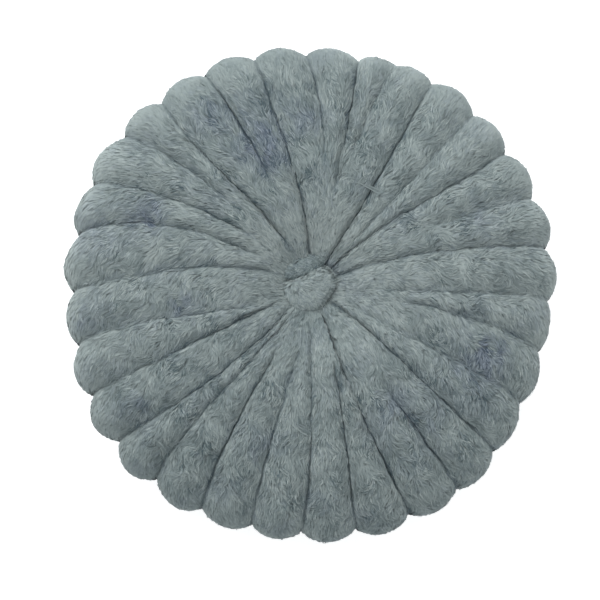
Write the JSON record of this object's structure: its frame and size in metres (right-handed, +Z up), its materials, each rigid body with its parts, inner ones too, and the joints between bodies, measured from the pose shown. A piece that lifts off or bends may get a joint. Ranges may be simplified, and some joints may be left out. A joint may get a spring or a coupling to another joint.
{
  "type": "round pleated plush cushion",
  "caption": "Round floor cushion of short plush, sewn into channels that gather under a plush knot, lying on its flat underside.",
  "frame": {"origin": "middle of the flat underside, on the surface that the cushion rests on", "axes": "+Z up through the gathered middle, +Y towards the top of the cushion as seen from above, +X to the right"},
  "size_m": [0.4506, 0.4514, 0.0977],
  "materials": {
    "plush": "short cut pile, matt with a soft sheen",
    "knot_plush": "the same short cut pile, combed over the knot"
  },
  "bodies": {
    "root": {"cushion": "plush", "centre_knot": "knot_plush", "knot_end": "knot_plush"}
  },
  "joints": []
}
